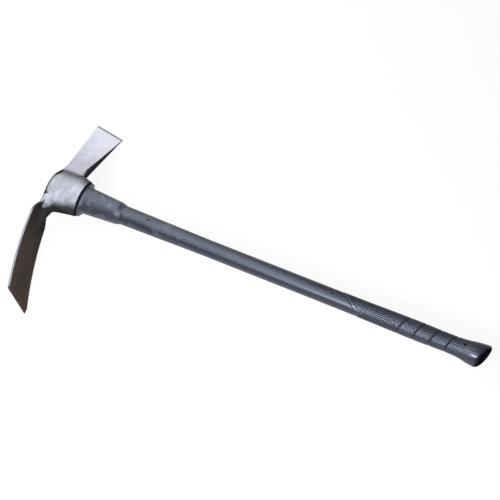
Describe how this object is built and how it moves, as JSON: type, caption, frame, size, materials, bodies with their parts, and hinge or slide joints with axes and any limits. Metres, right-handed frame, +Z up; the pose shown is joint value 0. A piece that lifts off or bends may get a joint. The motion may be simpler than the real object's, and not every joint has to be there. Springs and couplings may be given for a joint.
{
  "type": "mattock",
  "caption": "Cutter mattock: forged head with an axe blade and a wide adze blade on a straight moulded handle with a textured grip and a flared, slanted butt, for digging and cutting roots.",
  "frame": {"origin": "middle of the handle's end face, flush with the top of the eye", "axes": "+X along the handle from the eye to the butt, +Y to the axe blade, +Z up with the tool lying on its side"},
  "size_m": [0.9202, 0.4024, 0.1234],
  "materials": {
    "forged_steel": "satin, lightly mottled from forging",
    "resin": "glossy",
    "collar_plastic": "satin",
    "glass_fibre": "satin, cut end",
    "jacket_plastic": "satin",
    "grip_rubber": "matt, knurled"
  },
  "bodies": {
    "root": {"mattock_head": "forged_steel", "eye_bond": "resin", "eye_collar": "collar_plastic", "fibreglass_core": "glass_fibre", "shaft_jacket": "jacket_plastic", "grip_sleeve": "grip_rubber"}
  },
  "joints": []
}
